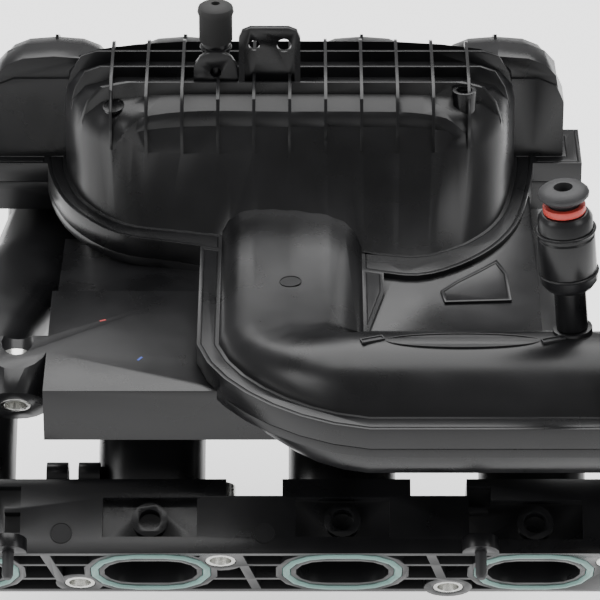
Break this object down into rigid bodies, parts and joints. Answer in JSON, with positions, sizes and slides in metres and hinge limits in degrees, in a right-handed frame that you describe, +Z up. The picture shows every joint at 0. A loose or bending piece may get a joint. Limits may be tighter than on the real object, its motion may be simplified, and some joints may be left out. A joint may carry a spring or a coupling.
{
  "type": "intake manifold",
  "caption": "Moulded plastic intake manifold: ribbed plenum, elbow duct to the throttle, curved runners and a flanged head block with flaps.",
  "frame": {"origin": "centre of the face that bolts to the cylinder head, midway along the row of ports", "axes": "+X along the row of ports towards the throttle end, +Y away from the head, +Z up, the way the upper shell leaves its mould; the head face leans 36 degrees forward"},
  "size_m": [0.4301, 0.3785, 0.2441],
  "materials": {
    "black_nylon": "moulded glass-filled nylon, satin",
    "dark_nylon": "moulded nylon, matt",
    "zinc_steel": "zinc-plated, bright",
    "brass_insert": "turned",
    "green_seal": "silicone, sheen",
    "black_rubber": "matt",
    "red_latch": "moulded, gloss"
  },
  "bodies": {
    "manifold": {"upper_shell": "black_nylon", "lower_shell": "black_nylon", "head_flange": "black_nylon", "runner_1": "black_nylon", "runner_2": "black_nylon", "runner_3": "black_nylon", "runner_4": "black_nylon", "runner_crown_1": "black_nylon", "runner_crown_2": "black_nylon", "runner_crown_3": "black_nylon", "runner_crown_4": "black_nylon", "throttle_flange": "black_nylon", "throttle_seal": "black_rubber", "throttle_insert_1": "brass_insert", "throttle_insert_2": "brass_insert", "throttle_insert_3": "brass_insert", "throttle_insert_4": "brass_insert", "fitting_body": "black_nylon", "fitting_ring": "red_latch", "pipe_cap": "black_rubber", "port_gasket_1": "green_seal", "port_gasket_2": "green_seal", "port_gasket_3": "green_seal", "port_gasket_4": "green_seal", "limiter_1": "zinc_steel", "limiter_2": "zinc_steel", "limiter_3": "zinc_steel", "limiter_4": "zinc_steel", "limiter_5": "zinc_steel", "limiter_6": "zinc_steel", "locating_peg_left": "dark_nylon", "locating_peg_right": "dark_nylon", "shaft_bush_left": "dark_nylon", "shaft_bush_right": "dark_nylon", "actuator_can": "dark_nylon", "actuator_lid": "dark_nylon", "actuator_diaphragm": "black_rubber", "return_spring": "zinc_steel"},
    "flap_set": {"swirl_shaft": "zinc_steel", "swirl_flap_1": "dark_nylon", "swirl_flap_2": "dark_nylon", "swirl_flap_3": "dark_nylon", "swirl_flap_4": "dark_nylon", "flap_lever": "dark_nylon"},
    "diaphragm_rod": {"actuator_rod": "zinc_steel"},
    "release_collar": {"release_collar": "dark_nylon"}
  },
  "joints": [
    {"name": "flap_turn", "type": "hinge", "parent": "manifold", "child": "flap_set", "pos_m": [0, 0.02022, 0.01469], "axis": [1, 0, 0], "range_deg": [0, 70]},
    {"name": "rod_slide", "type": "slide", "parent": "manifold", "child": "diaphragm_rod", "axis": [0, 0, 1], "range_m": [0, 0.01376], "stiffness_N_per_m": 300, "springref_m": -0.005, "deforming": ["return_spring", "actuator_diaphragm"]},
    {"name": "release_press", "type": "slide", "parent": "manifold", "child": "release_collar", "axis": [0.0872, 0, -0.9962], "range_m": [0, 0.0025], "stiffness_N_per_m": 600, "springref_m": -0.003}
  ],
  "couplings": [
    {"joint": "flap_turn", "follows": "rod_slide", "rad_per_m": 88.755}
  ]
}
